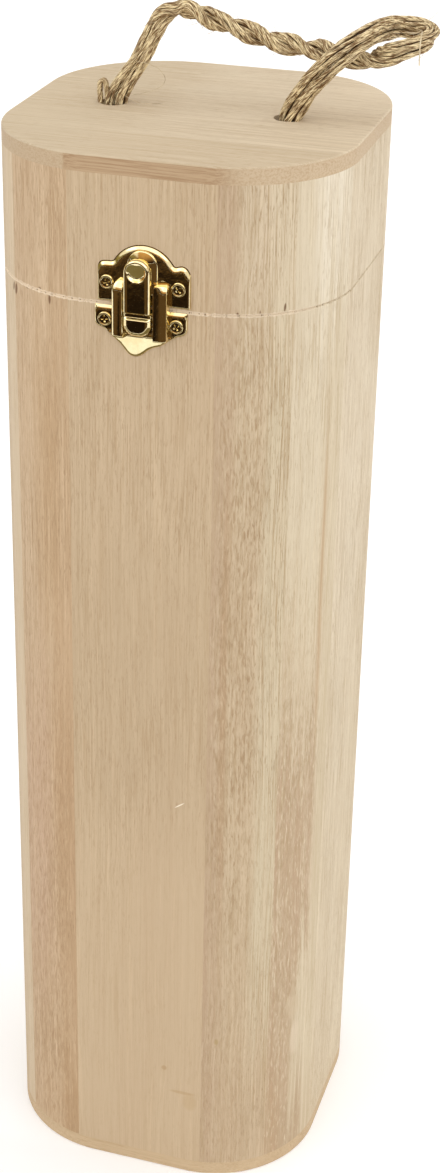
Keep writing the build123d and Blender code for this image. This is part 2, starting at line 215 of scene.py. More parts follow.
# The grain's noises: scale per millimetre across and along the grain, detail, roughness and distortion
GRAIN = {
    "drift": (0.02, 0.010, 2.0, 0.5, 0.0),
    "broad": (0.10, 0.005, 2.0, 0.5, 0.0),
    "middle": (0.60, 0.010, 3.0, 0.6, 0.0),
    "fine": (2.4, 0.030, 3.0, 0.7, 0.0),
    "dashes": (3.2, 0.30, 2.0, 0.6, 0.0),
    "fuzz": (1.7, 0.26, 2.0, 0.6, 0.5),
    "clouds": (0.05, 0.022, 2.0, 0.5, 0.0),
    "rings": (0.16, 0.010, 1.0, 0.5, 1.2),
    "columns": (0.55, 0.0, 3.0, 0.65, 0.0),
    "ragged": (0.9, 0.0, 3.0, 0.7, 0.0),
    "torn": (1.6, 0.0, 2.0, 0.6, 0.0),
}


class Wood(Material):
    """One piece of wood: colours laid over each other through masks, placed in millimetres."""

    def __init__(self, name, tone, dark, seed, light, where, plate):
        super().__init__(name)
        self.seed, self.light = seed, light
        self.tone, self.dark = self.lit(tone), self.lit(dark)
        self.shift = (seed * 37.7, seed * 19.3, seed * 11.1)
        self.place = self.millimetres()
        self.x, self.y, self.z = self.split(self.place)
        self.height = self.z
        if plate:
            self.height = self.y
            self.place = self.join(self.z, self.y, self.x)
        wander = (self.layer("drift") - 0.5) * 3.5
        a, b, along = self.split(self.place)
        self.place = self.join(a + wander, b + wander, along)
        self.across = self.round_distance(where)
        self.wavy = self.across + wander * 0.8
        self.ragged_height = self.height + (self.layer("columns") - 0.5) * 110.0
        self.middle, self.fine = self.layer("middle"), self.layer("fine")
        self.colour = self.tone

    def lit(self, colour):
        """An 8-bit colour of the photograph, as the wood's own colour under this piece's light."""
        return tinted(linear(*colour), 1 / self.light)

    def layer(self, kind, shift=None):
        across, along, detail, rough, distortion = GRAIN[kind]
        place = self.scaled(self.place, (across, across, along), shift or self.shift)
        return self.noise(place, detail, rough, distortion)

    def cover(self, mask, colour):
        self.colour = self.blend(mask, self.colour, colour)

    def round_distance(self, where):
        if where == "front":
            return self.x
        if where == "side":
            return self.y + SIDE_MIDDLE
        sign = 1 if where == "right" else -1
        angle = self.math("ARCTAN2", self.x * sign - STRAIGHT_X, self.y * -1.0 - STRAIGHT_Y)
        return (angle * CORNER + STRAIGHT_X) * sign

    def between(self, value, low, soft_low, high, soft_high):
        inside = self.ramp(value, low - soft_low, low + soft_low)
        return inside * self.ramp(value, high + soft_high, high - soft_high)

    def area(self, span, rise):
        """A mask with ragged ends. Without a rise it runs the whole height."""
        mask = self.between(self.wavy, *span)
        if rise is None:
            return mask
        bottom, top, fade = rise
        return mask * self.between(self.ragged_height, bottom, 1.3 * fade, top, 1.3 * fade)

    def streak(self, streaks, figure):
        self.cover(self.ramp(self.layer("broad"), 0.32, 0.68, 0.0, 0.6 * streaks), self.dark)
        self.cover(self.ramp(self.middle, 0.48, 0.72, 0.0, streaks), self.dark)
        self.cover(self.ramp(self.middle, 0.46, 0.30, 0.0, 0.6), tinted(self.tone, 1.10))
        if figure:
            wave = self.math("SINE", self.layer("rings") * 70.0)
            self.cover(self.ramp(wave, 0.2, 1.0, 0.0, figure), self.dark)

    def zone(self, colour, strength, span, rise):
        texture = self.ramp(self.middle, 0.25, 0.62, 0.6 * strength, min(1.0, 1.15 * strength))
        self.cover(self.area(span, rise) * texture, self.lit(colour))

    def grain(self, lines, calm, rough):
        """Fine lines, pores and torn fibres. It gives back the relief that goes with them."""
        strong = self.ramp(self.layer("clouds"), 0.3, 0.7, 0.55 * lines, 1.25 * lines)
        if calm:
            low, high, share = calm
            strong = strong * self.ramp(self.height, low, high, share, 1.0)
        grooves = self.ramp(self.fine, 0.46, 0.66) * (strong * 1.4)
        self.cover(grooves, tinted(self.tone, (0.80, 0.73, 0.64)))
        self.cover(self.ramp(self.fine, 0.46, 0.30) * (strong * 0.85), tinted(self.tone, 1.16))
        pores = self.ramp(self.layer("dashes"), 0.55, 0.68) * strong
        fuzz = self.layer("fuzz")
        raised = 0.0
        for amount, span, rise in rough:
            mask = self.area(span, rise)
            pores += self.ramp(fuzz, 0.48, 0.68) * (mask * amount)
            raised += self.ramp(fuzz, 0.46, 0.30) * (mask * (0.6 * amount))
        self.cover(pores, tinted(self.tone, (0.70, 0.60, 0.50)))
        self.cover(raised, tinted(self.tone, 1.12))
        return self.bump(grooves * -0.7 + pores * -1.0 + raised, 0.6, 0.00014)

    def plate_edge(self):
        """The top's edge: long grain in front between the corners, and speckled end grain round them."""
        past_x = self.larger(self.size(self.x) - STRAIGHT_X, 0.0)
        past_y = self.larger(self.size(self.y) - STRAIGHT_Y, 0.0)
        outside = self.ramp(self.hypotenuse(past_x, past_y), CORNER - 1.0, CORNER - 0.6)
        place = self.scaled(self.join(self.x, self.y, self.z), (1.7, 1.7, 2.0), self.shift)
        specks = self.noise(place, 3.0, 0.65)
        ends = self.blend(self.ramp(specks, 0.42, 0.64), self.lit((205, 182, 151)), self.lit((192, 165, 132)))
        ends = self.blend(self.ramp(self.x, 36.0, 14.0, 0.0, 0.32), ends, self.lit((180, 154, 122)))
        lines = self.ramp(self.fine, 0.4, 0.62)
        long = self.blend(lines, self.lit((189, 160, 126)), self.lit((170, 138, 104)))
        front = self.between(self.x, -22.5, 0.3, 24.0, 5.0) * self.ramp(self.y, 0.0, -1.0)
        self.cover(self.ramp(self.z, TOP - 0.35, TOP - 0.6) * outside, self.blend(front, ends, long))

    def mark(self, colour, strength, at, half, slant):
        """A small oval at a distance round the outside and a height, with its half width and half height."""
        up = self.height - at[1]
        across = self.across - at[0] - up * slant
        away = self.hypotenuse(across * (1 / half[0]), up * (1 / half[1]))
        self.cover(self.ramp(away, 1.0, 0.5) * strength, self.lit(colour))

    def saw_cut(self):
        """A pale ragged line where the lid was sawn off, with painted shade for some small torn-out pits,
        which the surface doesn't have.
        """
        offset = self.size(self.height - SEAM)
        cut = self.ramp(offset + self.layer("ragged") * 1.1, 1.2, 0.85)
        fading = self.ramp(self.across, 56.0, 46.0)
        self.cover(cut * fading * 0.85, self.lit((236, 217, 190)))
        torn = self.layer("torn", (self.seed * 5.0, 3.0, 0.0))
        # Painted shade: dark where small pits were torn out beside the cut
        pit_shade = self.ramp(offset, 0.45, 0.15) * self.ramp(torn, 0.56, 0.66)
        self.cover(pit_shade * 0.8, linear(128, 96, 64))


def wood(name, tone, dark, seed, lines=0.5, streaks=0.5, light=1.0, where="front", plate=False,
         edge=False, figure=0.0, calm=None, zones=(), rough=(), marks=()):
    """Tone and dark are its colours, lines and streaks how much they show, and light how well it is lit."""
    board = Wood("paulownia_" + name, tone, dark, seed, light, where, plate)
    board.streak(streaks, figure)
    for zone in zones:
        board.zone(*zone)
    relief = board.grain(lines, calm, rough)
    if edge:
        board.plate_edge()
    for mark in marks:
        board.mark(*mark)
    if not plate:
        board.saw_cut()
    roughness = board.ramp(board.fine, 0.3, 0.7, 0.56, 0.74)
    return board.surface({"Base Color": board.colour, "Roughness": roughness, "Specular IOR Level": 0.25,
                          "Normal": relief})


TAN = (201, 177, 145)
PINKISH = (188, 158, 130)
CREAM = (214, 193, 162)
# Painted shade for small torn-out pits along the saw cut, used by the staves' marks
TORN_PIT_SHADE = (112, 78, 48)
SCRATCH = (245, 232, 208)

# Beyond the box's ends, for an area that runs on to the base or to the top
DOWN, UP = -200, 560

# The twelve staves as the photograph shows them. A zone or rough area has its strength, its span across with
# a softness after each limit, and its rise: bottom, top and softness. A mark has its strength, place, half
# size and slant. Calm says between which heights the lines grow from a share to their full strength
STAVES = {
    "front_board": dict(
        tone=(200, 176, 144), dark=(191, 164, 132), seed=1, lines=0.44, streaks=0.35, light=1.06,
        calm=(80, 190, 0.45),
        zones=[((184, 156, 120), 0.35, (-8.5, 0.8, -6.8, 0.8), (55, 80, 8)),
               ((188, 164, 132), 0.45, (-30, 4, 30, 4), (140, 235, 20))],
        marks=[(SCRATCH, 0.9, (13.2, 146.8), (0.45, 1.4), 1.3),
               ((172, 138, 96), 0.5, (9, 42.5), (1.2, 1.2), 0),
               ((178, 146, 104), 0.45, (15.4, 33.5), (5.5, 0.8), 0),
               ((186, 156, 114), 0.35, (18, 30), (3, 4.5), 0)],
    ),
    "front_left_stave_b": dict(
        tone=(200, 174, 142), dark=(184, 154, 120), seed=12, lines=0.6, where="left",
        zones=[((180, 146, 106), 0.50, (-35, 3, -25.5, 2), (205, 292, 16)),
               ((182, 150, 114), 0.38, (-28, 2.5, -20, 0.5), None),
               ((190, 160, 126), 0.60, (-28, 2.5, -20, 0.5), (120, 240, 25)),
               ((180, 146, 110), 0.55, (-31, 4, -20, 0.5), (75, 175, 25)),
               ((192, 160, 134), 0.60, (-46, 1, -31, 4), (60, 175, 30)),
               ((174, 140, 102), 0.65, (-28.5, 2.5, -20, 0.5), (-10, 45, 20)),
               ((188, 158, 124), 0.50, (-46, 1, -30, 3), (-10, 70, 20))],
        rough=[(0.6, (-46, 1, -24, 3), (DOWN, 160, 25)), (0.3, (-46, 1, -24, 3), (150, UP, 25))],
        marks=[(TORN_PIT_SHADE, 0.85, (-43.6, 305.4), (1.0, 2.2), 0.15), (TORN_PIT_SHADE, 0.85, (-27.9, 306.6), (0.55, 2.0), 0),
               (TORN_PIT_SHADE, 0.7, (-31.6, 308.9), (0.7, 0.5), 0), (TORN_PIT_SHADE, 0.6, (-37.0, 307.6), (0.9, 0.35), 0)],
    ),
    "front_left_stave_a": dict(
        tone=(207, 186, 156), dark=(196, 173, 142), seed=11, lines=0.35, streaks=0.3, light=1.02,
        where="left",
        zones=[((191, 169, 138), 0.85, (-75, 1, -53, 2.5), None)],
        marks=[(TORN_PIT_SHADE, 0.8, (-45.2, 305.8), (0.7, 1.8), 0.2), (TORN_PIT_SHADE, 0.6, (-57.0, 307.7), (1.2, 0.9), 0)],
    ),
    "front_right_stave_a": dict(
        tone=(208, 187, 156), dark=(194, 168, 136), seed=2, lines=0.6, streaks=0.45, light=1.11,
        where="right",
        zones=[((190, 161, 132), 0.72, (18, 0.5, 27, 3.2), None),
               ((194, 166, 134), 0.34, (27, 2, 35, 4), (DOWN, 245, 20)),
               ((214, 199, 169), 0.65, (36.5, 2, 46, 0.5), (60, UP, 25)),
               ((196, 169, 138), 0.50, (20, 0.5, 46, 0.5), (-10, 45, 25)),
               ((180, 144, 106), 0.45, (25.5, 0.8, 27.5, 0.8), (120, 255, 30)),
               ((224, 206, 178), 0.50, (29, 3, 46, 0.5), (300, UP, 16))],
        rough=[(0.32, (22, 1, 36, 3), None), (0.46, (24, 1, 37, 3), (120, 300, 25))],
        marks=[(TORN_PIT_SHADE, 0.85, (27.7, 308.8), (0.4, 0.6), 0), (TORN_PIT_SHADE, 0.85, (41.2, 309.9), (0.45, 1.6), 0.1),
               (TORN_PIT_SHADE, 0.6, (34.0, 308.9), (0.3, 1.0), 0), ((176, 150, 96), 0.5, (26.5, 56.5), (0.9, 1.6), 0)],
    ),
    "front_right_stave_b": dict(
        tone=(224, 207, 177), dark=(206, 184, 152), seed=3, lines=0.45, streaks=0.35, light=1.185,
        where="right",
        zones=[((230, 215, 189), 0.45, (43, 0.5, 58, 3), (235, UP, 30)),
               ((246, 234, 212), 0.70, (51, 4, 68, 3), (312, UP, 18)),
               ((192, 154, 112), 0.60, (58.6, 0.8, 60.2, 0.8), (160, 270, 18)),
               ((206, 179, 148), 0.40, (43, 0.5, 60, 2), (160, 205, 20)),
               ((195, 165, 134), 0.84, (43, 0.4, 61, 1.6), (88, 165, 14)),
               ((194, 163, 132), 0.88, (43, 0.4, 53.5, 2), (DOWN, 92, 10)),
               ((188, 160, 128), 0.85, (50, 2, 61, 2), (DOWN, 26, 12)),
               ((198, 174, 142), 0.70, (60.5, 2, 70, 1), (DOWN, 26, 12)),
               ((186, 150, 112), 0.45, (43, 0.5, 48.5, 2.5), (DOWN, 36, 12)),
               ((212, 192, 158), 0.40, (62.5, 1, 68, 0.5), (-10, 200, 30))],
        rough=[(0.85, (43, 0.5, 61, 1.5), (78, 175, 14)), (0.75, (43, 0.5, 53.5, 2), (DOWN, 84, 10)),
               (0.35, (45, 1, 62, 1.5), (165, 235, 20)), (0.5, (52, 2, 61, 1.5), (DOWN, 26, 10))],
        marks=[((228, 208, 180), 0.6, (55.6, 50.5), (2.6, 9.0), 0.05),
               ((216, 194, 162), 0.5, (54.0, 64.0), (4.4, 6.0), -0.2)],
    ),
    "right_board": dict(
        tone=(224, 207, 178), dark=(208, 186, 152), seed=4, lines=0.75, streaks=0.55, light=1.15,
        where="side",
        zones=[((232, 216, 190), 0.6, (60, 1, 120, 1), (200, 360, 40))],
    ),
    "back_right_stave_a": dict(tone=TAN, dark=PINKISH, seed=5),
    "back_right_stave_b": dict(tone=CREAM, dark=TAN, seed=6, lines=0.45, streaks=0.4),
    "back_board": dict(tone=TAN, dark=(190, 162, 130), seed=7, figure=0.25),
    "back_left_stave_a": dict(tone=CREAM, dark=PINKISH, seed=8),
    "back_left_stave_b": dict(tone=TAN, dark=PINKISH, seed=9, streaks=0.4),
    "left_board": dict(tone=(206, 184, 152), dark=(190, 162, 130), seed=10, lines=0.45),
}
PLATES = {
    "top": dict(
        tone=(214, 196, 168), dark=(203, 178, 147), seed=21, lines=0.42, light=1.07, plate=True, edge=True,
        # Of the top's zones, the first, lighter to the right, is painted light where the rope's loop shades
        # the top; the others make the middle lighter and the left and the front darker
        zones=[((230, 212, 184), 0.65, (22, 22, 90, 1), (-22, 200, 10)),
               ((222, 206, 180), 0.45, (-14, 10, 24, 10), (-26, 200, 8)),
               ((204, 186, 157), 0.60, (-60, 1, -14, 14), None),
               ((202, 182, 152), 0.60, (-20, 12, 60, 1), (DOWN, -24, 8))],
    ),
    "base": dict(tone=(197, 172, 138), dark=(186, 158, 124), seed=22, lines=0.4, streaks=0.4, plate=True),
}
woods = {name: wood(name, **settings) for name, settings in {**STAVES, **PLATES}.items()}


def metal(name, colour, rough, seed):
    nodes = Material(name)
    place = nodes.millimetres()
    cloud = nodes.noise(nodes.scaled(place, (0.35, 0.35, 0.35), (seed, seed, seed)), 3.0, 0.6)
    rub = nodes.noise(nodes.scaled(place, (1.2, 6.0, 6.0), (seed, 0.0, seed)), 3.0, 0.6)
    warm = nodes.blend(nodes.ramp(cloud, 0.35, 0.7), colour, tinted(colour, (0.93, 0.88, 0.80)))
    roughness = nodes.ramp(rub, 0.3, 0.8, rough * 0.8, rough * 1.5)
    return nodes.surface({"Base Color": warm, "Roughness": roughness, "Metallic": 1.0,
                          "Normal": nodes.bump(cloud, 0.10, 0.0003)})


brass = metal("brass_plating", (0.92, 0.80, 0.49), 0.06, 3.0)
steel = metal("spring_steel", (0.62, 0.61, 0.59), 0.3, 8.0)


def jute_material(name, light, dark):
    """Its colour varies along and round each yarn, by the yarn's own texture coordinates."""
    nodes = Material(name)
    uv = nodes.coordinates("UV")
    fibres = nodes.noise(nodes.scaled(uv, (0.32, 9.0, 1.0)), 3.0, 0.65)
    patches = nodes.noise(nodes.scaled(uv, (0.22, 2.0, 1.0)), 3.0, 0.6)
    colour = nodes.blend(nodes.ramp(fibres, 0.45, 0.58), linear(*light), linear(*dark))
    colour = nodes.blend(nodes.ramp(patches, 0.48, 0.64, 0.0, 0.8), colour, linear(106, 72, 36))
    colour = nodes.blend(nodes.ramp(fibres, 0.36, 0.24), colour, linear(236, 214, 170))
    return nodes.surface({"Base Color": colour, "Roughness": nodes.ramp(fibres, 0.3, 0.7, 0.5, 0.8),
                          "Specular IOR Level": 0.4, "Normal": nodes.bump(fibres, 0.8, 0.0002)})


jute = jute_material("jute", (242, 221, 175), (120, 87, 47))
# The core is dark brown as painted shade: it shows between the yarns as the shade of the gaps
jute_core_painted_shade = jute_material("jute_core_painted_shade", (84, 58, 30), (50, 33, 17))
jute_fibre = jute_material("jute_fibre", (240, 227, 198), (200, 172, 126))

materials = {"lid_top": woods["top"], "case_base": woods["base"], "catch_spring": steel}
for name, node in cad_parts.items():
    stave = name.partition("_")[2]
    material = woods[stave] if stave in STAVES else materials.get(name, brass)
    node.data.materials.clear()
    node.data.materials.append(material)


# The catch's stamped sheets. Outlines are in the front face's plane, in millimetres from the saw cut: x to
# the right, y up, and out towards the viewer. Edges bent by more than SHARP degrees are sharp, and rims are
# rows of points at these distances inside an outline
SHARP = 38
RIMS = (0.07, 0.18, 0.34, 0.55, 0.8)
SCREW_RIMS = (0.05, 0.12, 0.2, 0.3, 0.42, 0.55, 0.7)


def outline_of(*items):
    """A closed outline's points. A number between two points stands for as many more on the line between."""
    points = []
    for place, item in enumerate(items):
        if isinstance(item, int):
            start, end = items[place - 1], items[(place + 1) % len(items)]
            points += [tuple(p) for p in np.linspace(start, end, item + 2)[1:-1]]
        else:
            points.append(item)
    return np.array(points)


def arc(x, y, radius, start, end, count):
    """Points on a circle round x, y, from one angle in degrees to another."""
    angles = np.radians(np.linspace(start, end, count))
    return [(x + radius * math.cos(a), y + radius * math.sin(a)) for a in angles]


def circle(x, y, radius, count):
    angles = np.linspace(0, 2 * math.pi, count, endpoint=False)
    return np.stack([x + radius * np.cos(angles), y + radius * np.sin(angles)], axis=1)


def smooth_outline(points, per_side):
    """A closed curve through the points, with per_side points from each one to the next."""
    before, here, after, last = (np.roll(points, shift, axis=0) for shift in (1, 0, -1, -2))
    rows = [0.5 * (2 * here + (after - before) * t + (2 * before - 5 * here + 4 * after - last) * t ** 2
                   + (3 * here - before - 3 * after + last) * t ** 3)
            for t in np.linspace(0, 1, per_side, endpoint=False)]
    return np.stack(rows, axis=1).reshape(-1, 2)


def inset(outline, amount):
    """The outline's points moved to the left of its way round, which is inwards. Sharp corners are kept from
    moving too far."""
    sides = np.roll(outline, -1, axis=0) - outline
    sides /= np.linalg.norm(sides, axis=1)[:, None]
    after = np.stack([-sides[:, 1], sides[:, 0]], axis=1)
    before = np.roll(after, 1, axis=0)
    mitre = before + after
    length = np.maximum((mitre * before).sum(1), 0.35)
    return outline + mitre / length[:, None] * amount


def depth(points, outline):
    """How far points are inside a closed outline. Outside, or with an empty outline, it's below zero."""
    if not len(outline):
        return np.full(len(points), -np.inf)
    a, b = outline, np.roll(outline, -1, axis=0)
    along = b - a
    share = ((points[:, None] - a[None]) * along[None]).sum(2) / (along ** 2).sum(1)[None]
    nearest = a[None] + np.clip(share, 0, 1)[:, :, None] * along[None]
    away = np.linalg.norm(points[:, None] - nearest, axis=2).min(1)
    x, y = points[:, 0, None], points[:, 1, None]
    spans = (a[:, 1] > y) != (b[:, 1] > y)
    rise = np.where(spans, along[:, 1], 1.0)
    crossed = spans & (a[:, 0] + (y - a[:, 1]) / rise * along[:, 0] > x)
    return np.where(crossed.sum(1) % 2, away, -away)


def step(value, low, high):
    """A smooth rise from 0 at low to 1 at high."""
    t = np.clip((value - low) / (high - low), 0, 1)
    return t * t * (3 - 2 * t)


def bevel(distance, width):
    share = min(1.0, distance / width)
    return 1.5 * share - 0.5 * share ** 3


def round_over(distance, radius):
    share = 1 - min(1.0, distance / radius)
    return math.sqrt(max(0.0, 1 - share * share))


class Stamping:
    def __init__(self):
        self.bm = bmesh.new()

    def vert(self, x, y, out):
        return self.bm.verts.new((x / 1000, (FACE_Y - out) / 1000, (SEAM + y) / 1000))

    def loop(self, points, out):
        return [self.vert(x, y, out) for x, y in points]

    def wall(self, low, high):
        """A closed wall between two loops of as many points."""
        self.strip(low + low[:1], high + high[:1])

    def cap(self, loop):
        face = self.bm.faces.new(loop)
        face.normal_update()
        bmesh.ops.triangulate(self.bm, faces=[face])

    def rings(self, outline, profile):
        loops = [self.loop(inset(outline, shrink) if shrink else outline, out) for shrink, out in profile]
        for low, high in zip(loops, loops[1:]):
            self.wall(low, high)
        self.cap(loops[-1])
        self.cap(loops[0][::-1])

    def pressed(self, outline, out_of, low, spacing=0.4, hole=np.empty((0, 2)), rims=RIMS, back=True):
        """A sheet pressed into shape: out_of gives its height from x, y and the distance to its edge. Rows of
        points follow the edge, without those that come too near it again in a corner, and a grid fills the
        rest."""
        inner = []
        for amount in rims:
            moved = inset(outline, amount)
            inner.append(moved[depth(moved, outline) > 0.92 * amount])
        (left, bottom), (right, top) = outline.min(axis=0), outline.max(axis=0)
        columns, rows = np.arange(left, right, spacing), np.arange(bottom, top, spacing)
        grid = np.array([(x, y) for x in columns for y in rows])
        inner.append(grid[depth(grid, outline) > rims[-1] + 0.3 * spacing])
        inner = np.concatenate(inner)
        inner = inner[depth(inner, hole) < -0.12]
        count, both = len(outline), len(outline) + len(hole)
        borders = [(i, (i + 1) % count) for i in range(count)]
        borders += [(i, i + 1 if i + 1 < both else count) for i in range(count, both)]
        points = [Vector(p) for p in np.concatenate([outline, hole, inner])]
        flat, _, faces, _, _, _ = delaunay_2d_cdt(points, borders, [], 0, 1e-6)
        flat = np.array([tuple(p) for p in flat])
        away = np.abs(depth(flat, outline))
        verts = [self.vert(x, y, out_of(x, y, far)) for (x, y), far in zip(flat, away)]
        middles = np.array([flat[list(face)].mean(axis=0) for face in faces])
        kept = (depth(middles, outline) > 0) & (depth(middles, hole) < 0)
        for face, keep in zip(faces, kept):
            if keep:
                self.bm.faces.new([verts[i] for i in face])
        foot = self.loop(outline, low)
        self.wall(foot, verts[:count])
        if back:
            self.cap(foot[::-1])
        self.wall(verts[count:both], self.loop(hole, low))

    def sheet(self, rows):
        grid = [[self.vert(*point) for point in row] for row in rows]
        for low, high in zip(grid, grid[1:]):
            self.strip(low, high)
        return grid

    def strip(self, low, high):
        for i in range(len(low) - 1):
            self.bm.faces.new((low[i], low[i + 1], high[i + 1], high[i]))

    def build(self, name, node, body):
        bmesh.ops.recalc_face_normals(self.bm, faces=self.bm.faces)
        mesh = bpy.data.meshes.new(name)
        self.bm.to_mesh(mesh)
        self.bm.free()
        add_piece(name, mesh, brass, body, node)
        mesh.set_sharp_from_angle(angle=math.radians(SHARP))


# Keeper: a plate with an arched top, and a hump with a window that the lever's tip hooks into
KEEPER_PLATE = outline_of(
    (-12.1, 1.0), 12, (14.3, 1.0), (14.6, 1.3), (14.6, 2.6), 2, (14.6, 9.4), (14.6, 10.5), (14.2, 11.7),
    (13.4, 12.7), (12.3, 13.15), (11.3, 13.05), (10.3, 12.75), (9.75, 13.0),
    *arc(1.0, 8.0, 10.0, 34, 146, 17), (-7.6, 13.1), (-8.2, 12.65), (-9.4, 12.6), (-10.8, 12.45),
    (-11.8, 12.0), (-12.35, 11.0), (-12.4, 9.6), 3, (-12.4, 2.4), (-12.4, 1.3))
HUMP = outline_of(*arc(-2.0, 4.6, 1.6, 180, 270, 11), *arc(3.8, 4.6, 1.6, -90, 0, 11), 6,
                  *arc(0.9, 12.2, 4.5, 0, 180, 21), 6)
WINDOW = outline_of((-1.8, 9.25), 1, (2.4, 9.25), 1, (2.4, 12.75), 1, (-1.8, 12.75), 1)


def keeper():
    stamping = Stamping()
    stamping.pressed(smooth_outline(KEEPER_PLATE, 3), keeper_out, 0.0)
    stamping.pressed(HUMP, hump_out, 0.5, 0.35, WINDOW, back=False)
    stamping.build("keeper", "keeper_plate", "lid")


def keeper_out(x, y, edge):
    broad = step(y, 9.0, 11.5)
    return 0.05 + 0.80 * (broad * bevel(max(0.0, edge - 0.32), 1.28) + (1 - broad) * round_over(edge, 0.42))


def hump_out(x, y, edge):
    slope = min(edge, 2.8)
    return 0.80 + 0.40 * round_over(edge, 0.18) + 0.50 * slope - 0.045 * slope * slope


# Catch plate: a pointed plate, and the housing, two raised sides joined by a bar under the lever. The housing
# runs from its lower left round the foot, the right side, the bar's top and the left side
CATCH_PLATE = outline_of(
    (13.5, -0.4), 12, (-13.0, -0.4), (-13.3, -0.7), (-13.3, -1.9), 1, (-13.3, -4.8), (-13.1, -5.9),
    (-12.4, -6.6), (-11.3, -7.0), (-9.7, -7.8), (-7.9, -9.4), (-6.1, -11.0), (-4.8, -12.6), (-3.7, -14.0),
    (-2.7, -14.65), (-1.5, -14.85), (-0.3, -14.55), (0.9, -13.8), (2.5, -12.4), (4.3, -11.4), (6.1, -10.7),
    (7.8, -9.5), (9.4, -8.3), (11.1, -7.4), (12.6, -6.9), (13.5, -6.2), (13.8, -5.0), (13.8, -4.0), 1,
    (13.8, -1.9), (13.8, -0.7))
HOUSING = outline_of(
    (-7.4, -7.8), (-7.15, -8.4), (-6.6, -8.6), (-5.8, -8.6), 10, (7.2, -8.6), (8.0, -8.6), (8.55, -8.4),
    (8.8, -7.8), (8.8, -6.8), 10, (8.8, 5.6), (8.8, 6.7), (8.45, 7.45), (7.7, 7.8), (5.65, 7.8), (4.85, 7.6),
    (4.55, 6.9), (4.55, 6.0), 10, (4.55, -6.4), (4.4, -7.25), (3.65, -7.6), (2.95, -7.6), 4, (-2.35, -7.6),
    (-3.05, -7.6), (-3.8, -7.25), (-3.95, -6.4), 10, (-3.95, 6.1), (-3.95, 7.3), (-4.25, 8.0), (-4.95, 8.3),
    (-5.5, 8.3), (-6.5, 7.6), (-7.15, 6.5), (-7.4, 5.1), 10, (-7.4, -6.8))


def catch_base():
    stamping = Stamping()
    stamping.pressed(smooth_outline(CATCH_PLATE, 3), catch_out, 0.0)
    stamping.pressed(smooth_outline(HOUSING, 2), housing_out, 0.5, 0.28, back=False)
    stamping.build("catch_base", "catch_plate", "case")


def catch_out(x, y, edge):
    broad = 0.45 + 0.25 * step(y, -10.0, -12.0)
    raised = 0.32 * step(y, -7.4, -8.2) - 0.11 * max(0.0, -8.2 - y)
    lip = step(y, -2.0, -1.4)
    return 0.18 + 0.62 * ((1 - lip) * round_over(edge, broad) + lip * min(1.0, edge / 0.95)) + raised


def housing_out(x, y, edge):
    beside = abs(x - LEVER_X)
    if beside < 4.3 and y < -7.0:
        # The bar is low, so the lever's tab has room to be pressed
        low = 0.80 + 0.45 * round_over(edge, 0.3)
        return low + (3.3 - low) * step(beside, 4.05, 4.3)
    if x < 0.5:
        out = 0.80 + 2.45 * round_over(edge, 0.12) + 0.55 * round_over(edge, 0.75)
        return max(0.9, out - 0.045 * (x + 4.9) ** 2 - 0.20 * max(0.0, y - 4.9) ** 2)
    out = 0.80 + 2.70 * round_over(edge, 0.10) + 0.30 * round_over(edge, 0.40)
    corner = step(x, 5.9, 8.0) * max(0.0, y - 5.3) ** 2
    return max(0.9, out - 0.03 * (x - 5.4) ** 2 - 0.22 * corner)


# Lever: a pressed tongue with rolled edges, a dimple at its tip, and a press tab below its groove. It turns
# on two lugs behind it, and a nub behind its tip hooks into the keeper
LEVER_X, LEVER_HALF, LEVER_TOP, LEVER_FOOT, FOOT_RADIUS = 0.3, 3.95, 15.0, -7.3, 3.4
LEVER_CROWN, LEVER_HEEL = LEVER_TOP - LEVER_HALF, LEVER_FOOT + FOOT_RADIUS
DIMPLE_RADIUS, DIMPLE_Y = 3.0, 11.5
LUG_OUT, LUG_Y, LUG_RADIUS, LUG_OUTER, LUG_INNER, LUG_BACK = 2.35, -1.2, 1.25, 3.65, 2.85, 3.6
NUB_Y, NUB_RADIUS = 11.0, 1.3


def lever_end(y):
    """How far y is past the tongue's straight part, and the radius of the end that it is nearer to."""
    if y > LEVER_CROWN:
        return y - LEVER_CROWN, LEVER_HALF
    return max(0.0, LEVER_HEEL - y), FOOT_RADIUS


def lever_half_width(y):
    past, radius = lever_end(y)
    return LEVER_HALF - radius + math.sqrt(max(0.0, radius ** 2 - past ** 2))


def lever_edge(x, y):
    """Distance from a point of the tongue to its outline."""
    past, radius = lever_end(y)
    side = LEVER_HALF - abs(x - LEVER_X)
    return max(0.0, min(side, radius - math.hypot(max(0.0, radius - side), past)))


def lever_out(x, y, edge):
    tongue = 3.60 + 1.30 * round_over(edge, 0.75) - 0.10 * step(edge, 0.6, 1.5)
    away = math.hypot(x - LEVER_X + 0.1, y - DIMPLE_Y) / DIMPLE_RADIUS
    tongue += min(0.0, 0.24 * (y - DIMPLE_Y) - 0.5) * (1 - step(away, 0.72, 1.0))
    groove = 3.55 + 0.35 * round_over(edge, 0.95)
    tab = 3.62 + 0.35 * round_over(edge, 0.12) + 0.85 * bevel(edge, 1.3)
    into = step(y, -2.45, -1.75)
    over = step(y, -0.9, -0.25)
    return tab * (1 - into) + groove * into * (1 - over) + tongue * over


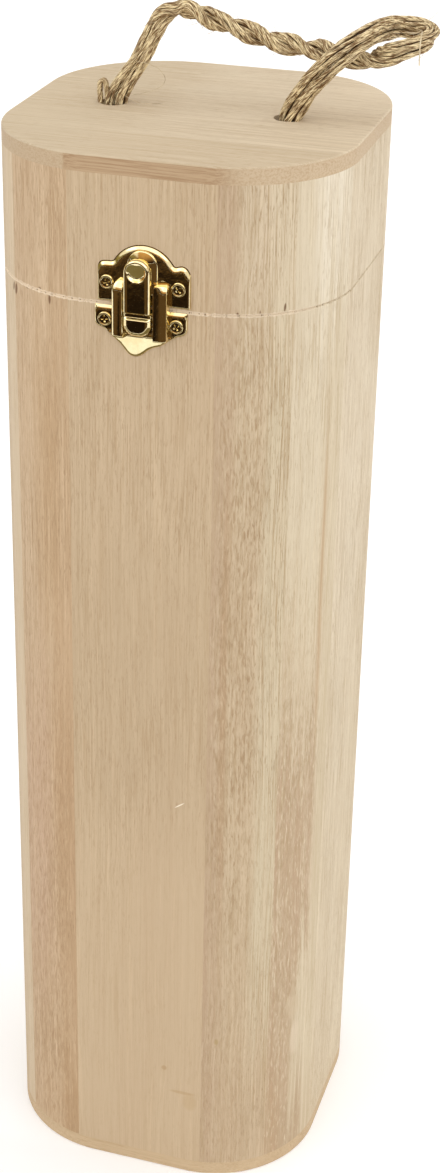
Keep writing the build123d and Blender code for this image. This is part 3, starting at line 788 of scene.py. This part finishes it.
def lever():
    heights = [LEVER_TOP - LEVER_HALF * (1 - math.cos(a)) for a in np.linspace(0.12, math.pi / 2, 24)]
    heights += [*np.linspace(LEVER_CROWN - 0.2, 0.2, 44), *np.linspace(0.05, -3.7, 34)]
    heights += [LEVER_HEEL - FOOT_RADIUS * math.sin(a) for a in np.linspace(0.05, math.pi / 2 - 0.1, 18)]
    across = np.sin(np.linspace(-math.pi / 2, math.pi / 2, 61))
    places = [[(LEVER_X + lever_half_width(y) * share, y) for share in across] for y in heights]
    stamping = Stamping()
    front = stamping.sheet([[(x, y, lever_out(x, y, lever_edge(x, y))) for x, y in row] for row in places])
    behind = stamping.sheet([[(x, y, 3.4 + 0.12 * step(-y, 1.8, 2.6)) for x, y in row] for row in places])
    for k in (0, -1):
        stamping.strip([row[k] for row in front], [row[k] for row in behind])
        stamping.strip(front[k], behind[k])
    for side in (-1, 1):
        lug = [(LUG_BACK, LUG_Y + LUG_RADIUS)] + arc(LUG_OUT, LUG_Y, LUG_RADIUS, 90, 270, 12)
        lug += [(LUG_BACK, LUG_Y - LUG_RADIUS)]
        one, two = ([stamping.vert(LEVER_X + side * off, y, out) for out, y in lug]
                    for off in (LUG_OUTER, LUG_INNER))
        stamping.bm.faces.new(one)
        stamping.bm.faces.new(two[::-1])
        stamping.wall(one, two)
    stamping.rings(circle(LEVER_X, NUB_Y, NUB_RADIUS, 20), [(0.35, 2.08), (0.0, 2.3), (0.0, 3.5)])
    stamping.build("lever", "catch_lever", "catch_lever")


# Screws: a rolled edge, a flat face and a cross recess whose four slopes meet at a point. Each has its centre
# and how far its cross is turned
HEAD_RADIUS, SHANK_RADIUS, CROSS_ARM, CROSS_HALF = 2.05, 0.9, 1.0, 0.25
HEAD_FACE, RECESS_FLOOR = 0.98, 0.42
KEEPER_SCREWS = [((-9.55, 6.6), 0.35), ((11.35, 6.6), 0.7)]
CATCH_SCREWS = [((-10.2, -4.3), 0.15), ((10.8, -4.3), 0.55)]


def cross_shape(x, y, turned):
    corners = []
    for k in range(4):
        turn = turned + k * math.pi / 2
        for along, side in ((CROSS_HALF, -CROSS_HALF), (CROSS_ARM, -CROSS_HALF), (CROSS_ARM, CROSS_HALF)):
            corners.append((x + along * math.cos(turn) - side * math.sin(turn),
                            y + along * math.sin(turn) + side * math.cos(turn)))
    return np.array(corners)


def screws(name, node, body, places):
    stamping = Stamping()
    for (x, y), turned in places:
        cross = cross_shape(x, y, turned)
        rim = circle(x, y, HEAD_RADIUS, 40)
        stamping.pressed(rim, screw_out, HEAD_FACE, 0.35, cross, SCREW_RIMS, back=False)
        pit = stamping.loop(cross, HEAD_FACE)
        point = stamping.vert(x, y, RECESS_FLOOR)
        for k in range(len(pit)):
            stamping.bm.faces.new((pit[k], pit[(k + 1) % len(pit)], point))
        stamping.rings(circle(x, y, SHANK_RADIUS, 40), [(0.75, -5.7), (0.0, -4.1), (0.0, 0.74)])
    bmesh.ops.remove_doubles(stamping.bm, verts=stamping.bm.verts, dist=1e-6)
    stamping.build(name, node, body)


def screw_out(x, y, edge):
    return 1.05 + 0.33 * round_over(edge, 0.30) - 0.16 * step(edge, 0.30, 0.6)


screws("keeper_screw_heads", "keeper_screws", "lid", KEEPER_SCREWS)
screws("catch_screw_heads", "catch_screws", "case", CATCH_SCREWS)
keeper()
catch_base()
lever()


# The control points of the rope's line, in millimetres
ROUTE = [
    (-26.4, 0, 344.7), (-26.4, 0, 350), (-22.9, 0.9, 356.7), (-18.4, 2.6, 363.3), (-15.9, 4.5, 370.1),
    (-13, 5.9, 375.9), (-7, 6.9, 377.7), (0.4, 7.9, 374.2), (9.1, 9, 372.2), (17.9, 9.4, 369.2),
    (27, 9.1, 368.3), (36.1, 7.8, 367.7), (45.5, 5.7, 366.8), (53.6, 0.8, 369.5), (59.8, -0.8, 372.7),
    (64.4, 2.7, 374), (64.6, 9.6, 374.6), (60.2, 13.6, 375.1), (54, 12.6, 375.5), (50.7, 5.6, 375.8),
    (46.8, -1.9, 374.1), (39.7, -3.4, 368.2), (32.2, -2.1, 359.5), (26.4, 0, 350), (26.4, 0, 344.7),
]

# The step between the line's points in metres, and how many lobes a strand has round it
LINE_STEP = 0.0006
LOBES = 3


def spline_points(route):
    """The points, in metres, of a smooth curve led by control points in millimetres."""
    curve = bpy.data.curves.new("route", "CURVE")
    curve.dimensions = "3D"
    curve.resolution_u = 16
    spline = curve.splines.new("NURBS")
    spline.points.add(len(route) - 1)
    for point, place in zip(spline.points, np.array(route) / 1000):
        point.co = (*place, 1)
    spline.order_u = 3
    spline.use_endpoint_u = True
    holder = link(bpy.data.objects.new("route", curve))
    bpy.context.view_layer.update()
    mesh = bpy.data.meshes.new_from_object(holder)
    points = np.array([tuple(v.co) for v in mesh.vertices])
    bpy.data.objects.remove(holder)
    bpy.data.curves.remove(curve)
    bpy.data.meshes.remove(mesh)
    keep = [0]
    for i in range(1, len(points)):
        if np.linalg.norm(points[i] - points[keep[-1]]) > 1e-6:
            keep.append(i)
    return points[keep]


def reach_along(points):
    return np.concatenate([[0], np.cumsum(np.linalg.norm(np.diff(points, axis=0), axis=1))])


def evenly(points, spacing):
    """Points at even steps along a line, and how far along it each one is."""
    reach = reach_along(points)
    at = np.linspace(0, reach[-1], max(2, int(round(reach[-1] / spacing)) + 1))
    return np.stack([np.interp(at, reach, points[:, k]) for k in range(3)], axis=1), at


def frames_along(points):
    tangents = np.gradient(points, axis=0)
    tangents /= np.linalg.norm(tangents, axis=1)[:, None]
    first = np.cross(tangents[0], (0.31, 0.87, 0.21))
    normals = [first / np.linalg.norm(first)]
    for tangent in tangents[1:]:
        normal = normals[-1] - tangent * normals[-1].dot(tangent)
        normals.append(normal / np.linalg.norm(normal))
    normals = np.array(normals)
    return tangents, normals, np.cross(tangents, normals)


class Strands:
    """Tubes that share one mesh. Their texture coordinates run along each tube and turn with its twist, and
    the seed moves them, so that no two tubes look the same."""

    def __init__(self):
        self.verts, self.faces, self.uvs = [], [], []

    def tube(self, points, radii, sides, seed, twist=0.0, lobe_share=0.0):
        _, normals, binormals = frames_along(points)
        radii = np.broadcast_to(radii, len(points))
        reach = reach_along(points) * 1000
        start, rows = len(self.verts), len(points)
        for i, point in enumerate(points):
            for k in range(sides):
                angle = 2 * math.pi * k / sides
                swell = 1 + lobe_share * math.cos(LOBES * angle - twist * reach[i])
                spoke = math.cos(angle) * normals[i] + math.sin(angle) * binormals[i]
                self.verts.append(tuple(point + spoke * radii[i] * swell))
        turn = twist / LOBES / (2 * math.pi)

        def uv(i, k):
            return reach[i] + seed * 31, k / sides - reach[i] * turn + seed

        for i in range(rows - 1):
            low, high = start + i * sides, start + (i + 1) * sides
            for k in range(sides):
                n = (k + 1) % sides
                self.faces.append((low + k, low + n, high + n, high + k))
                self.uvs += [uv(i, k), uv(i, k + 1), uv(i + 1, k + 1), uv(i + 1, k)]
        last = start + (rows - 1) * sides
        self.faces += [tuple(range(start + sides - 1, start - 1, -1)), tuple(range(last, last + sides))]
        self.uvs += [(reach[i] + seed * 31, seed + 0.1 * k) for i in (0, -1) for k in range(sides)]

    def build(self, name, material=None, node=None):
        mesh = bpy.data.meshes.new(name)
        mesh.from_pydata(self.verts, [], self.faces)
        mesh.uv_layers.new(name="along").data.foreach_set("uv", np.ravel(self.uvs))
        mesh.update()
        return add_piece(name, mesh, material or jute, "lid", node)


def smooth_random(own, count, knot_count):
    knots = own.normal(size=knot_count)
    return np.interp(np.linspace(0, knot_count - 1, count), np.arange(knot_count), knots)


line, along_line = evenly(spline_points(ROUTE), LINE_STEP)
tangents, normals, binormals = frames_along(line)
millimetres = along_line * 1000
rng = np.random.default_rng(11)


def beside(offset):
    """The rope's line moved sideways by two distances, one along each of its normals."""
    return line + normals * offset[0][:, None] + binormals * offset[1][:, None]


def facing(direction):
    """How far the first bundle must turn to lie towards a direction."""
    direction = np.stack([np.broadcast_to(part, len(line)) for part in direction], axis=1)
    return np.unwrap(np.arctan2((binormals * direction).sum(1), (normals * direction).sum(1)))


# Where the two bundles are twisted, where the loop starts and ends, in millimetres along the rope, and how
# fast they turn, in radians a millimetre
TWIST_IN, TWIST_OUT = (24, 38), (98, 112)
LOOP_START, LOOP_END = 112, 160
TURN_RATE = 0.25
in_twist = step(millimetres, *TWIST_IN) * (1 - step(millimetres, *TWIST_OUT))


def bundle_turn():
    """Side by side in the legs, twisted from the top bend on, one above the other round the loop."""
    twisted = np.cumsum(in_twist) / np.sum(in_twist)
    loop_start, loop_end = np.searchsorted(millimetres, (LOOP_START, LOOP_END))
    farthest = millimetres[np.argmax(line[:, 0])]
    lean = 0.55 * np.exp(-((millimetres - farthest) / 8) ** 2)
    sideways, upright = facing((1.0, 0.0, 0.0)), facing((lean, -0.35, 0.94))
    twist_length = TWIST_OUT[0] - TWIST_IN[0]
    half_turns = round((TURN_RATE * twist_length + sideways[0] - upright[loop_start]) / math.pi)
    turn = sideways * (1 - twisted) + (upright + half_turns * math.pi) * twisted
    leg = step(millimetres, 146, 172)
    into_leg = sideways + math.pi * round((turn[loop_end] - sideways[loop_end]) / math.pi)
    return turn * (1 - leg) + into_leg * leg + 1.1 * step(millimetres, 158, 190)


# Each bundle's yarns: how many, how fast they turn, in radians a millimetre, and radii in millimetres
YARNS = 8
YARN_TURN_RATE = -0.03
YARN_RADIUS, CORE_RADIUS = 0.48, 1.05
turn = bundle_turn()

# How widely the yarns spread: less in the left leg, more at the ends, in the twist and from the loop on
ends = np.minimum(millimetres, millimetres[-1] - millimetres)
fullness = 1 - 0.06 * step(millimetres, 8, 16) * (1 - step(millimetres, 26, 34))
fullness += 0.18 * (1 - step(ends, 3, 15)) + 0.04 * in_twist + 0.16 * step(millimetres, 122, 134)
rope, core = Strands(), Strands()
for bundle in range(2):
    pair = turn + math.pi * bundle
    away = np.stack([np.cos(pair), np.sin(pair)])
    around = np.stack([-np.sin(pair), np.cos(pair)])
    for yarn in range(YARNS):
        spin = millimetres * YARN_TURN_RATE + 2 * math.pi * yarn / YARNS + 0.7 * bundle
        drift_out = smooth_random(rng, len(line), 36) * 0.19
        drift_side = smooth_random(rng, len(line), 36) * 0.19
        out = 1.36 + 0.10 * in_twist + 1.10 * np.cos(spin) + drift_out
        side = (1.50 - 0.12 * in_twist) * np.sin(spin) + drift_side
        path = beside((away * out + around * side) * fullness / 1000)
        thick = (YARN_RADIUS + 0.05 * smooth_random(rng, len(line), 50)) / 1000
        rope.tube(path, thick, 8, bundle * 10 + yarn, twist=1.3, lobe_share=0.09)
    # The core's dark colour is painted shade for the gaps between the yarns
    core.tube(beside(away * 1.30 * fullness / 1000), CORE_RADIUS / 1000, 8, 20 + bundle)
core_piece = core.build("rope_core", jute_core_painted_shade)
rope_piece = rope.build("rope", node="rope_handle")

# Stopper knots under the top, in metres: the rope's yarns turned once round themselves, with a frayed tail
KNOT_Z, TAIL_Z, TAIL_OFF = 0.3402, 0.3380, 0.0012
KNOT_STRETCH = (1.18, 1.18, 1.9)
KNOT_YARNS, KNOT_YARN_OFF, KNOT_YARN_RADIUS, TAIL_YARNS = 5, 0.00115, 0.00082, 7
TWIST = dict(twist=2.6, lobe_share=0.1)


def knot(name, node, centre_x, seed):
    strands = Strands()
    own = np.random.default_rng(seed)
    angles = np.linspace(0, 2 * math.pi, 120)
    trefoil = np.stack([np.sin(angles) + 2 * np.sin(2 * angles), np.cos(angles) - 2 * np.cos(2 * angles),
                        -np.sin(3 * angles)], axis=1)
    points = trefoil * KNOT_STRETCH / 1000 + (centre_x, 0, KNOT_Z)
    _, normal, binormal = frames_along(points)
    for yarn in range(KNOT_YARNS):
        spin = angles * KNOT_YARNS + 2 * math.pi * yarn / KNOT_YARNS
        path = points + (normal * np.cos(spin)[:, None] + binormal * np.sin(spin)[:, None]) * KNOT_YARN_OFF
        strands.tube(path, KNOT_YARN_RADIUS, 8, seed + yarn, **TWIST)
    for yarn in range(TAIL_YARNS):
        side = 2 * math.pi * yarn / TAIL_YARNS
        length = own.uniform(4.0, 6.5)
        share = np.linspace(0, 1, 10)[:, None]
        root = np.array((centre_x + TAIL_OFF * math.cos(side), TAIL_OFF * math.sin(side), TAIL_Z))
        spread = np.array((math.cos(side), math.sin(side), 0.0)) * own.uniform(0.6, 1.8) / 1000
        path = root + spread * share ** 1.5 + np.array((0, 0, -length / 1000)) * share
        strands.tube(path, np.linspace(0.0007, 0.00045, 10), 7, seed + 20 + yarn, **TWIST)
    return strands.build(name, node=node)


left_knot = knot("left_knot", "left_rope_knot", -HOLE_X, 40)
right_knot = knot("right_knot", "right_rope_knot", HOLE_X, 60)


def bent(points, spacing):
    return evenly(spline_points(points), spacing)[0]


# The folded stub of a yarn at the left hole, in millimetres: two strands side by side
STUB = [(-29.7, -1.2, 347.5), (-30.2, -1.4, 353), (-30, -1.6, 356.2), (-28.8, -1.2, 356.8),
        (-28, -0.8, 353.5), (-27.9, -0.4, 347.5)]
stub = Strands()
for number, shift in enumerate((-0.6, 0.6)):
    path = bent([(x, y + shift, z) for x, y, z in STUB], 0.0005)
    stub.tube(path, 0.00062, 9, 80 + number, **TWIST)
stub_piece = stub.build("folded_yarn")

# Stray fibres: short ones all along the rope, then the three long ones of the photograph. Their points are in
# millimetres and their radii in metres
SHORT_FIBRES = 110
LONG_FIBRES = [
    ([(57.5, 8.5, 374.8), (61, 6, 375.2), (63.4, 1.5, 377.7), (64.1, -3.4, 377), (64.4, -5.6, 373.8),
      (64.6, -6, 369.5)], 0.00030),
    ([(-19, -1, 362.5), (-16, -3, 363.2), (-11.2, -2, 361.2), (-10, 0, 357.2), (-14, 0, 354),
      (-20, -1, 352.8)], 0.00007),
    ([(-23.6, -1, 353), (-20, -2, 351.2), (-15, -2, 350.6), (-11, -1, 351.2)], 0.00009),
]
fibres = Strands()
for number in range(SHORT_FIBRES):
    at = rng.integers(10, len(line) - 30)
    angle = rng.uniform(0, 2 * math.pi)
    way = normals[at] * math.cos(angle) + binormals[at] * math.sin(angle)
    length = rng.uniform(1.5, 4.0) / 1000
    lean = tangents[at] * rng.choice((-1, 1)) * rng.uniform(0.6, 1.6)
    curl = np.array(rng.normal(size=3)) * 0.35
    share = np.linspace(0, 1, 8)[:, None]
    path = line[at] + way * 0.0022 + (way * rng.uniform(0.25, 0.9) + lean) * length * share
    fibres.tube(path + curl * length * share ** 2, np.linspace(0.00007, 0.00003, 8), 4, 100 + number)
for points, radius in LONG_FIBRES:
    path = bent(points, 0.0004)
    fibres.tube(path, np.linspace(radius, radius * 0.6, len(path)), 5, 300)
fibre_piece = fibres.build("stray_fibres", jute_fibre)


# Studio: a white floor under soft light. What the polished metal mirrors is a dark room with lamps
def stage_sheet(name, half, near, far, height, material):
    mesh = bpy.data.meshes.new(name)
    corners = [(-half, near, height), (half, near, height), (half, far, height), (-half, far, height)]
    mesh.from_pydata(corners, [], [(0, 1, 2, 3)])
    mesh.materials.append(material)
    obj = link(bpy.data.objects.new(name, mesh))
    return obj


def floor():
    paper = Material("floor_paper").surface({"Base Color": (0.93, 0.93, 0.93), "Roughness": 0.6,
                                             "Emission Color": (1, 1, 1), "Emission Strength": 0.13})
    stage_sheet("floor", 20, -20, 20, 0, paper)


def mirrored_sheet(name, half, near, far, material):
    """A sheet just above the floor that is seen only where something mirrors it."""
    obj = stage_sheet(name, half, near, far, 0.002, material)
    obj.visible_camera = False
    obj.visible_diffuse = False
    obj.visible_shadow = False


def reflection_sheets():
    """Sheets that only reflections show, which paint the metal's reflections: a dark one in front, fading to
    brown in patches and at both sides of the spot that the catch's flat faces mirror, and an olive one nearer
    the box. The white floor shows between them."""
    nodes = Material("painted_dark_reflection")
    place = nodes.coordinates("Object")
    cloud = nodes.noise(nodes.scaled(place, (6.0, 6.0, 6.0), (3.0, 1.0, 0.0)), 2.0, 0.5)
    aside = nodes.size(nodes.split(place)[0] + 0.25)
    faded = nodes.larger(nodes.ramp(cloud, 0.42, 0.68), nodes.ramp(aside, 0.04, 0.16, 0.0, 0.85))
    brown = nodes.blend(faded, (0.012, 0.007, 0.004), (0.10, 0.058, 0.023))
    dark_reflection = nodes.surface({"Base Color": brown, "Specular IOR Level": 0.0})
    mirrored_sheet("dark_front", 12, -12, -0.545, dark_reflection)
    olive = Material("olive_reflection_sheet").surface({"Base Color": (0.16, 0.13, 0.055), "Roughness": 0.9})
    mirrored_sheet("olive_reflection_sheet", 0.6, -0.43, -0.056, olive)


def sun(name, toward, strength, spread):
    data = bpy.data.lights.new(name, "SUN")
    data.energy = strength
    data.angle = math.radians(spread)
    light = link(bpy.data.objects.new(name, data))
    light.rotation_euler = Vector(toward).to_track_quat("Z", "Y").to_euler()
    light.visible_glossy = False


def room():
    """An even white light. What mirrors, mostly the metal, sees a dark room with three lamps instead."""
    world = bpy.data.worlds.new("studio")
    scene.world = world
    world.use_nodes = True
    nodes = Nodes(world.node_tree)
    x, _, z = nodes.split(nodes.coordinates("Generated"))
    top_lamp = nodes.ramp(z, 0.45, 0.58) * 1.6
    right_lamp = nodes.ramp(x, 0.26, 0.50) * nodes.ramp(z, 0.02, 0.25) * 0.75
    left_lamp = nodes.ramp(x, -0.40, -0.62) * nodes.ramp(z, 0.16, 0.34)
    light = top_lamp + (right_lamp + left_lamp)
    glow = nodes.blend(nodes.ramp(z, 0.02, 0.46), linear(42, 28, 20), linear(214, 166, 106))
    left_side = nodes.ramp(x, -0.45, -0.80) * nodes.ramp(z, -0.1, 0.2)
    glow = nodes.blend(left_side, glow, linear(150, 138, 88))
    glow = nodes.blend(nodes.ramp(light, 0.05, 0.9), glow, (1.0, 0.97, 0.90))
    shown = nodes.add("ShaderNodeBackground", {"Color": (1, 1, 1), "Strength": 0.72})
    mirrored = nodes.add("ShaderNodeBackground", {"Color": glow, "Strength": nodes.larger(light, 1.0)})
    backdrop = nodes.add("ShaderNodeBackground", {"Color": (1, 1, 1), "Strength": 1.0})
    for ray, other in (("Is Glossy Ray", mirrored), ("Is Camera Ray", backdrop)):
        choice = nodes.add("ShaderNodeLightPath", result=ray)
        shown = nodes.add("ShaderNodeMixShader", enumerate((choice, shown, other)))
    nodes.put(world.node_tree.nodes["World Output"].inputs["Surface"], shown)


floor()
reflection_sheets()
sun("key", (0.62, -0.38, 0.72), 1.6, 140)
sun("fill", (-0.8, -0.4, 0.45), 0.35, 60)
room()
